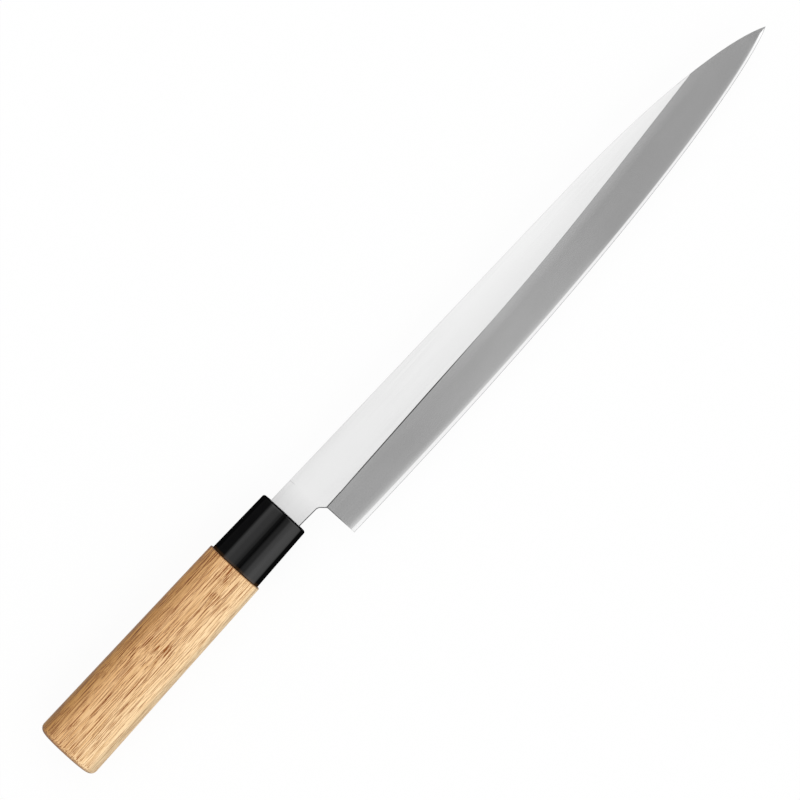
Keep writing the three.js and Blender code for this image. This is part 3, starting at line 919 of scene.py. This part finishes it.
def painted_cut_shade(graph):
    """Painted shade along the cut outline: 1 along the cut outline of neck, corner and heel, 0 a little way
    in, and fainter down the heel.
    """
    x, y = graph.from_origin()
    underside = graph.math("SUBTRACT", -NECK_BELOW_AXIS, graph.math("MULTIPLY", x, slope(NECK_FALL)))
    from_neck = graph.math("SUBTRACT", y, underside)
    across = graph.math("POWER", graph.math("SUBTRACT", x, FILLET_CENTRE_X), 2.0)
    down = graph.math("POWER", graph.math("SUBTRACT", y, FILLET_CENTRE_Y), 2.0)
    from_centre = graph.math("SQRT", graph.math("ADD", across, down))
    from_corner = graph.math("SUBTRACT", from_centre, HEEL_FILLET)
    from_heel = graph.math("SUBTRACT", x, HEEL_X)
    sideways = graph.math("MULTIPLY", from_heel, math.cos(FILLET_TO))
    upwards = graph.math("MULTIPLY", graph.math("SUBTRACT", y, HEEL_TOP_Y), math.sin(FILLET_TO))
    from_slant = graph.math("MAXIMUM", graph.math("ADD", sideways, upwards), from_heel)
    is_corner = graph.math("LESS_THAN", x, SLANT_X)
    is_neck = graph.math("LESS_THAN", x, FILLET_X)
    near = graph.mix_value(is_neck, graph.mix_value(is_corner, from_slant, from_corner), from_neck)
    line = graph.ramp(near, *CUT_SHADE_REACH, 1.0, 0.0)
    return graph.math("MULTIPLY", line, graph.ramp(y, *CUT_SHADE_FADE, CUT_SHADE_LEAST, 1.0))


def ground_painted_light(graph):
    """Painted light on the ground face: brightest at the middle of its length and close below the ridge,
    with painted shade at the point.
    """
    x, _ = graph.from_origin()
    rising = graph.ramp(x, GROUND_LIGHT_HEEL_X, GROUND_LIGHT_MIDDLE_X[0], GROUND_LIGHT_HEEL, GROUND_LIGHT_MIDDLE)
    falling = graph.ramp(x, GROUND_LIGHT_MIDDLE_X[1], GROUND_LIGHT_TIP_X, GROUND_LIGHT_MIDDLE, GROUND_LIGHT_TIP)
    below = graph.node("ShaderNodeAttribute", attribute_name=BELOW_RIDGE).outputs["Fac"]
    near_ridge = graph.ramp(below, *RIDGE_HIGHLIGHT_DEPTH, 1.0, 0.0)
    more = graph.math("MULTIPLY", graph.ramp(x, *RIDGE_HIGHLIGHT_RISE, *RIDGE_HIGHLIGHT), near_ridge)
    more = graph.math("MULTIPLY", more, graph.ramp(x, *RIDGE_HIGHLIGHT_FADE, 1.0, RIDGE_HIGHLIGHT_LEAST))
    point = graph.ramp(x, TIP_X - POINT_SHADE_LENGTH, TIP_X, 1.0, POINT_SHADE)
    along = graph.math("MULTIPLY", graph.math("MINIMUM", rising, falling), point)
    return graph.math("MULTIPLY", along, graph.math("ADD", more, 1.0))


def steel_material(name, grey, roughness, line_depth, line_counts, painted_light=None):
    """Steel with fine grinding lines, with painted shade next to the ferrule and along its cut outline."""
    material = bpy.data.materials.new(name)
    graph = Graph(material)
    lines = graph.noise(graph.stretched(line_counts), detail=3.0, roughness=0.6)
    patches = graph.noise(graph.stretched(PATCHES))
    cut = painted_cut_shade(graph)
    patchy = graph.ramp(patches, *NOISE_MIDDLE, roughness - PATCH_ROUGHNESS, roughness + PATCH_ROUGHNESS)
    lined = graph.ramp(lines, *NOISE_MIDDLE, -LINE_ROUGHNESS, LINE_ROUGHNESS)
    x, _ = graph.from_origin()
    # painted shade next to the ferrule
    neck_shade = graph.ramp(x, *NECK_SHADE_REACH, NECK_SHADE, 1.0)
    tint = graph.math("MULTIPLY", graph.ramp(patches, *NOISE_MIDDLE, PATCH_SHADE, 1.0), neck_shade)
    # painted light and shade on the face, when given, multiplies the tint
    if painted_light:
        tint = graph.math("MULTIPLY", tint, painted_light(graph))
    graph.surface({
        # dark line of painted shade along the cut outline
        "Base Color": graph.mix_colour(cut, graph.vector("SCALE", grey, tint), CUT_SHADE),
        "Metallic": 1.0,
        "Roughness": graph.mix_value(cut, graph.math("ADD", lined, patchy), CUT_STEEL_ROUGHNESS),
        "Normal": graph.bump(lines, line_depth),
    })
    return material


def blade_materials():
    """The blade's finishes, in the order of blade_material_index."""
    return [
        steel_material("steel_flat", *FLAT_FINISH),
        # the ground face carries painted light and shade along its length
        steel_material("steel_ground", *GROUND_FINISH, ground_painted_light),
        steel_material("steel_band", *BAND_FINISH),
        steel_material("steel_back", *BACK_FINISH),
        # very edge: rougher steel with painted shade
        steel_material("steel_edge_shaded", *EDGE_FINISH_AND_SHADE),
    ]


def moulding_gloss(graph):
    """Gloss of the moulding: dull along the crest, on the spine side and where it is seen edge on."""
    _, y = graph.from_origin()
    below_crest = graph.ramp(y, *MOULDING_CREST_BELOW, MOULDING_CREST_GLOSS, 1.0)
    above_crest = graph.ramp(y, *MOULDING_CREST_ABOVE, MOULDING_CREST_GLOSS, 1.0)
    crest = graph.math("MAXIMUM", below_crest, above_crest)
    spine_side = graph.ramp(y, *MOULDING_SPINE_SIDE, 1.0, MOULDING_SPINE_GLOSS)
    edge_side = graph.ramp(y, *MOULDING_EDGE_SIDE, 1.0, MOULDING_EDGE_GLOSS)
    spine_sheen = graph.ramp(y, *MOULDING_SPINE_SHEEN, 1.0, MOULDING_SPINE_SHEEN_GLOSS)
    sides = graph.math("MULTIPLY", graph.math("MULTIPLY", spine_sheen, spine_side), edge_side)
    facing = graph.node("ShaderNodeLayerWeight", {"Blend": MOULDING_FACING_BLEND}).outputs["Facing"]
    gloss = graph.ramp(facing, *MOULDING_GLOSS_FACING, MOULDING_GLOSS, 0.0)
    return graph.math("MULTIPLY", gloss, graph.math("MULTIPLY", crest, sides))


def ferrule_material():
    """Black moulding, faintly mottled and scuffed along its length, and brownish at its rear edge."""
    material = bpy.data.materials.new("ferrule_black")
    graph = Graph(material)
    mottled = graph.noise(graph.stretched(MOULDING_MOTTLE), detail=3.0)
    scuffs = graph.noise(graph.stretched(MOULDING_SCUFFS))
    x, _ = graph.from_origin()
    rear_brown = graph.ramp(graph.math("ADD", x, FERRULE_LENGTH), *MOULDING_REAR_BROWN_REACH)
    colour = graph.mix_colour(mottled, MOULDING_DARK, MOULDING_PALE)
    graph.surface({
        "Base Color": graph.mix_colour(rear_brown, colour, MOULDING_REAR_BROWN),
        "Roughness": graph.ramp(scuffs, *MOULDING_SCUFFED, *MOULDING_ROUGHNESS),
        "IOR": MOULDING_IOR,
        "Specular IOR Level": moulding_gloss(graph),
        "Normal": graph.bump(mottled, MOULDING_RELIEF),
    })
    return material


def wood_streaks(graph):
    """Function that gives one layer of streaks. All layers sway together along the handle."""
    sway = graph.noise(graph.stretched(WOOD_SWAY_COUNTS), output="Color")
    centred = graph.vector("SUBTRACT", sway, (0.5, 0.5, 0.5))
    swayed = graph.vector("MULTIPLY", centred, WOOD_SWAY_WIDTH)
    grain = graph.vector("ADD", graph.stretched(UNSTRETCHED), swayed)

    def streaks(along, across, detail, roughness=0.5):
        return graph.noise(graph.vector("MULTIPLY", grain, (along, across, across)), detail, roughness)

    return streaks


def wood_tone(graph, band):
    """Colour of the wood without its fine grain: painted shade deepens it towards the spine, mixed with
    broad grain bands, and painted shade dulls both rims.
    """
    _, y = graph.from_origin()
    painted_spine_shade = graph.math("MULTIPLY", graph.ramp(y, *WOOD_SPINE_SHADE_RAMP), WOOD_SPINE_SHADE_SHARE)
    banded = graph.math("MULTIPLY", band, 1 - WOOD_SPINE_SHADE_SHARE)
    tone = graph.ramp(graph.math("ADD", painted_spine_shade, banded), *WOOD_TONE)
    colour = graph.mix_colour(tone, WOOD_PALE, WOOD_DEEP_AND_SHADED)
    # painted shade on the spine side and along both rims
    colour = graph.darken(colour, graph.ramp(y, *WOOD_SPINE_SIDE_SHADE_REACH), WOOD_SPINE_SIDE_SHADE)
    colour = graph.darken(colour, graph.ramp(y, *WOOD_SPINE_RIM_SHADE), WOOD_RIM_SHADE)
    return graph.darken(colour, graph.ramp(y, *WOOD_EDGE_RIM_SHADE), WOOD_RIM_SHADE)


def wood_end_grain_and_shade(graph):
    """1 at the darkened ends, partly end grain and partly painted shade: on the front shoulder and the rim
    of the butt, less on its face.
    """
    x, _ = graph.from_origin()
    from_front = graph.math("SUBTRACT", HANDLE_FRONT_X, x)
    from_butt = graph.math("SUBTRACT", x, BUTT_X)
    front_end = graph.ramp(from_front, *WOOD_FRONT_END)
    butt_rim = graph.ramp(from_butt, *WOOD_BUTT_RIM)
    butt_face = graph.ramp(from_butt, *WOOD_BUTT_FACE, 0.0, WOOD_BUTT_FACE_LIFT)
    return graph.math("MAXIMUM", front_end, graph.math("SUBTRACT", butt_rim, butt_face))


def wood_material():
    """Open-pored pale wood with solid grain along X, so the butt shows end grain."""
    material = bpy.data.materials.new("handle_wood")
    graph = Graph(material)
    streaks = wood_streaks(graph)
    fibre = streaks(*FIBRE_STREAKS, FIBRE_FINENESS)
    lines = graph.ramp(streaks(*LINE_STREAKS), *LINE_DARK)
    ticks = graph.ramp(streaks(*TICK_STREAKS), *TICK_DARK, 0.0, TICK_STRENGTH)
    pores = graph.ramp(streaks(*PORE_STREAKS), *PORE_DARK)
    _, y = graph.from_origin()
    quiet = graph.ramp(y, *WOOD_QUIET_REACH, WOOD_QUIET, 1.0)
    dark_fibre = graph.math("MULTIPLY", graph.ramp(fibre, *FIBRE_DARK, 1.0, 0.0), quiet)
    dark = graph.math("MAXIMUM", graph.math("MAXIMUM", lines, ticks), pores)
    colour = wood_tone(graph, streaks(*BAND_STREAKS))
    colour = graph.darken(colour, dark_fibre, WOOD_FIBRE)
    colour = graph.darken(colour, graph.math("MULTIPLY", dark, quiet), WOOD_LINE)
    sunk = graph.math("MAXIMUM", pores, graph.math("MULTIPLY", lines, WOOD_RELIEF_SHARE))
    relief = graph.math("SUBTRACT", graph.math("MULTIPLY", fibre, WOOD_RELIEF_SHARE), sunk)
    graph.surface({
        # darker ends: end grain and painted shade
        "Base Color": graph.darken(colour, wood_end_grain_and_shade(graph), WOOD_END_GRAIN_AND_SHADE),
        "Roughness": graph.ramp(fibre, *WOOD_FIBRE_RANGE, *WOOD_ROUGHNESS),
        "IOR": WOOD_IOR,
        "Normal": graph.bump(relief, WOOD_RELIEF),
    })
    return material


def resin_material():
    material = bpy.data.materials.new("bedding_resin")
    graph = Graph(material)
    cloud = graph.noise(graph.stretched(RESIN_CLOUDS), detail=3.0)
    graph.surface({
        "Base Color": graph.mix_colour(cloud, RESIN_DARK, RESIN_PALE),
        "Roughness": graph.ramp(cloud, *NOISE_MIDDLE, *RESIN_ROUGHNESS),
    })
    return material


# Studio

# Lights of the studio: strips along the knife, from its edge side over the top to its spine side. A strip
# is an angle and a brightness where it starts and where it ends, and fades evenly into the next one.
# Angles are degrees from straight up, minus on the edge side. BAND, FACE, LAND and FLAT are what mirrors it.
EDGE_WALL = ((-90, 0.85), (-66, 1.05))
EDGE_SOFTBOX = ((-46, 1.45), (-38, 1.35))
BAND_LIGHT = ((-33, 1.2), (-29, 1.2))
FACE_SHADE = ((-21.5, 0.45), (-17.5, 0.43))
FACE_LIGHT = ((-13, 0.55), (-9.6, 0.54))
LAND_SHADE = ((-7.6, 0.05), (-4.1, 0.05))
FLAT_LIGHT = ((-2.4, 1.13), (1.6, 1.13))
FLAT_SURROUND = ((3.4, 0.62), (6, 0.62))
SPINE_SOFTBOX = ((10, 0.82), (41, 0.92))
SPINE_WALL = ((50, 0.63), (90, 0.5))
EDGE_SIDE_LIGHTS = (EDGE_WALL, EDGE_SOFTBOX, BAND_LIGHT, FACE_SHADE, FACE_LIGHT, LAND_SHADE)
STUDIO_LIGHTS = (*EDGE_SIDE_LIGHTS, FLAT_LIGHT, FLAT_SURROUND, SPINE_SOFTBOX, SPINE_WALL)
STUDIO_PEAK = 2.0
STUDIO_ENDS = 0.65
STUDIO_ENDS_FADE = (0.5, 0.85)
STUDIO_FAR_GAIN = 1.4
STUDIO_FAR_REACH = (0.2, 0.34)
STUDIO_TIP_GAIN = 0.975
STUDIO_TIP_REACH = (0.03, 0.09)
STUDIO_SPINE_GAIN = 0.2
STUDIO_SPINE_REACH_X = (-0.02, 0.07)
STUDIO_SPINE_REACH_Y = (-0.01, 0.03)
FLOOR_HALF = 30.0
FLOOR_GREY = (0.93, 0.93, 0.93, 1.0)
FLOOR_PALE = (0.94, 0.94, 0.94, 1.0)
FLOOR_MOTTLE = (0.02, 0.02, 0.02)
FLOOR_LIFT = 0.93


def studio_grey(level):
    """Colour for a brightness, as a share of the studio's peak."""
    grey = level / STUDIO_PEAK
    return (grey, grey, grey, 1.0)


def studio_colour(graph, direction):
    """Bands of light along the knife, which give way to plain grey beyond its two ends."""
    angle = graph.math("ARCTAN2", direction["Y"], direction["Z"])
    levels = graph.node("ShaderNodeValToRGB", {"Fac": graph.ramp(angle, -math.pi / 2, math.pi / 2)})
    corners = [corner for light in STUDIO_LIGHTS for corner in light]
    stops = levels.color_ramp.elements
    while len(stops) < len(corners):
        stops.new(1.0)
    for stop, (degrees, level) in zip(stops, corners):
        stop.position = (degrees + 90) / 180
        stop.color = studio_grey(level)
    ends = graph.ramp(graph.math("ABSOLUTE", direction["X"]), *STUDIO_ENDS_FADE)
    return graph.mix_colour(ends, levels.outputs["Color"], studio_grey(STUDIO_ENDS))


def studio_strength(graph, direction):
    """Brighter far towards both ends and in a patch on the spine side, slightly dimmer towards the tip."""
    towards_tip = graph.ramp(direction["X"], *STUDIO_TIP_REACH, STUDIO_PEAK, STUDIO_PEAK * STUDIO_TIP_GAIN)
    patch_x = graph.ramp(direction["X"], *STUDIO_SPINE_REACH_X, 0.0, STUDIO_SPINE_GAIN)
    patch = graph.math("MULTIPLY", patch_x, graph.ramp(direction["Y"], *STUDIO_SPINE_REACH_Y))
    from_middle = graph.math("ABSOLUTE", direction["X"])
    far = graph.ramp(from_middle, *STUDIO_FAR_REACH, 1.0, STUDIO_FAR_GAIN)
    gain = graph.math("MULTIPLY", far, graph.math("ADD", patch, 1.0))
    return graph.math("MULTIPLY", towards_tip, gain)


def build_world():
    world = bpy.data.worlds.new("studio")
    bpy.context.scene.world = world
    graph = Graph(world)
    direction = graph.separate(graph.node("ShaderNodeTexCoord").outputs["Generated"])
    colour = studio_colour(graph, direction)
    strength = studio_strength(graph, direction)
    background = graph.node("ShaderNodeBackground", {"Color": colour, "Strength": strength})
    graph.output("ShaderNodeOutputWorld", background)


def floor_material():
    """White that is lifted towards plain white where it is seen, also in gloss, which thins the shadow."""
    material = bpy.data.materials.new("floor_white")
    graph = Graph(material)
    paper = graph.noise(graph.stretched(FLOOR_MOTTLE))
    matt = graph.node("ShaderNodeBsdfDiffuse", {"Color": graph.mix_colour(paper, FLOOR_GREY, FLOOR_PALE)})
    white = graph.node("ShaderNodeEmission", {"Color": WHITE, "Strength": 1.0})
    path = graph.node("ShaderNodeLightPath").outputs
    through = graph.math("MAXIMUM", path["Is Glossy Ray"], path["Is Transmission Ray"])
    seen = graph.math("MAXIMUM", path["Is Camera Ray"], through)
    lift = graph.math("MULTIPLY", seen, FLOOR_LIFT)
    mixed = graph.node("ShaderNodeMixShader", {0: lift, 1: matt.outputs[0], 2: white.outputs[0]})
    graph.output("ShaderNodeOutputMaterial", mixed)
    return material


def build_floor():
    mesh = bpy.data.meshes.new("floor")
    corners = [(x * FLOOR_HALF, y * FLOOR_HALF, 0.0) for x, y in ((-1, -1), (1, -1), (1, 1), (-1, 1))]
    mesh.from_pydata(corners, [], [(0, 1, 2, 3)])
    mesh.materials.append(floor_material())
    floor = bpy.data.objects.new("floor", mesh)
    bpy.context.scene.collection.objects.link(floor)


def build_camera():
    data = bpy.data.cameras.new("camera")
    camera = bpy.data.objects.new("camera", data)
    bpy.context.scene.collection.objects.link(camera)
    data.sensor_width = SENSOR_WIDTH
    data.lens = SENSOR_WIDTH * CAMERA_DISTANCE / (PHOTO_PIXELS * PIXEL_MM * MM)
    data.clip_end = CAMERA_REACH
    camera.location = to_frame((*VIEW_CENTRE, 0.0)) + Vector((0.0, 0.0, CAMERA_DISTANCE))
    camera.rotation_euler = (0.0, 0.0, -math.radians(HANDLE_TURN))
    bpy.context.scene.camera = camera


build_camera()
build_world()
build_floor()
bpy.context.scene.view_settings.view_transform = "Standard"

build_blade(blade_materials())
build_ferrule(ferrule_material())
build_handle(wood_material())
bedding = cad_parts["tang_bedding"]
bedding.data.materials.clear()
bedding.data.materials.append(resin_material())
